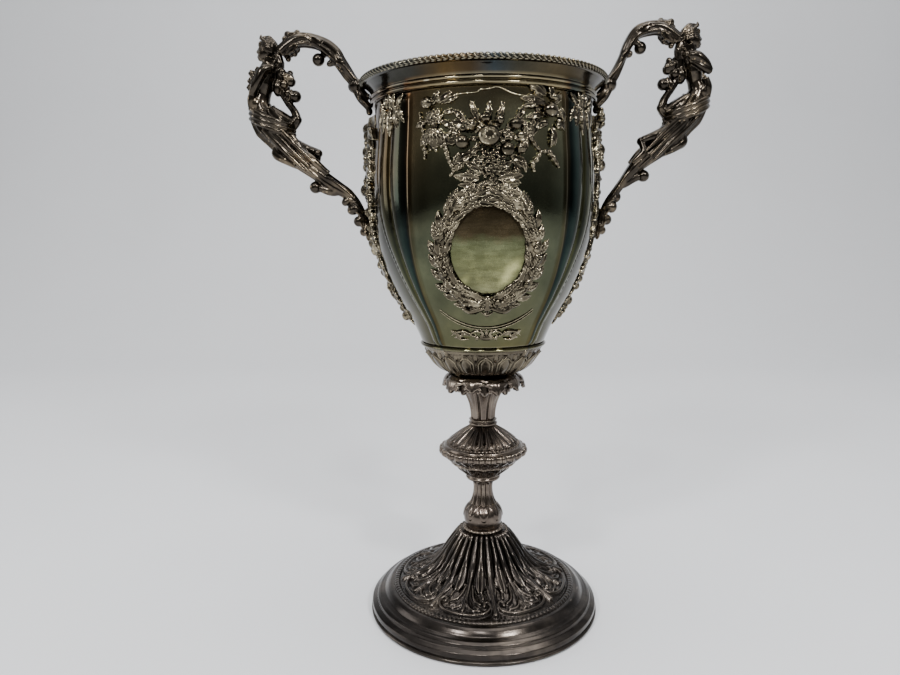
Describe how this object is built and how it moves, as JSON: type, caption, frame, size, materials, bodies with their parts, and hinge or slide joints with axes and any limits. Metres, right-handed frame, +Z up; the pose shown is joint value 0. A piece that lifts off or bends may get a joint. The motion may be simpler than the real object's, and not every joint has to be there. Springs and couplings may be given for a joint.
{
  "type": "cup trophy",
  "caption": "Ornate footed cup trophy: tall lobed bowl with figural side handles, oval front plate in a leaf wreath, fruit swags, knopped stem and a domed, leaf-chased foot.",
  "frame": {"origin": "axis of the cup at the plane of its foot", "axes": "+Z up along the cup's axis, the front plate faces -Y, the handles stand out along -X and +X"},
  "size_m": [0.2864, 0.1516, 0.3778],
  "materials": {
    "bowl_plate": "polished plated sheet under a dark, faintly iridescent tarnish",
    "oval_plate": "thin plate, yellow-green tarnish, dull and scuffed",
    "cast_ornament": "cast relief, bright high points and dark recesses",
    "handle_plate": "cast, nearly black tarnish with bronze high points",
    "stem_plate": "satin, warm grey-brown tarnish",
    "foot_plate": "satin, dark grey-brown tarnish, chased leaves",
    "fixing_steel": "plain dull steel"
  },
  "bodies": {
    "root": {"foot_wire": "foot_plate", "foot_moulding": "foot_plate", "foot_bead_ring": "foot_plate", "foot_dome": "foot_plate", "bulb_bead_ring": "stem_plate", "stem_bulb": "stem_plate", "stem_neck": "stem_plate", "knop_lower": "stem_plate", "knop_belt": "stem_plate", "knop_upper": "stem_plate", "stem_collar": "stem_plate", "stem_trumpet": "stem_plate", "leaf_collar": "stem_plate", "bowl_calyx": "bowl_plate", "calyx_ring": "bowl_plate", "bowl_shell": "bowl_plate", "neck_moulding": "bowl_plate", "rim_band": "bowl_plate", "rim_beading": "bowl_plate", "rim_leaf_caps": "cast_ornament", "front_plate": "oval_plate", "back_plate": "oval_plate", "front_wreath": "cast_ornament", "back_wreath": "cast_ornament", "front_festoon": "cast_ornament", "back_festoon": "cast_ornament", "left_garland": "cast_ornament", "right_garland": "cast_ornament", "left_upper_branch": "handle_plate", "right_upper_branch": "handle_plate", "left_figure": "handle_plate", "right_figure": "handle_plate", "left_lower_branch": "handle_plate", "right_lower_branch": "handle_plate", "left_rim_bracket": "handle_plate", "right_rim_bracket": "handle_plate", "tie_rod": "fixing_steel", "rod_washer": "fixing_steel", "rod_nut": "fixing_steel", "bowl_boss": "fixing_steel"}
  },
  "joints": []
}
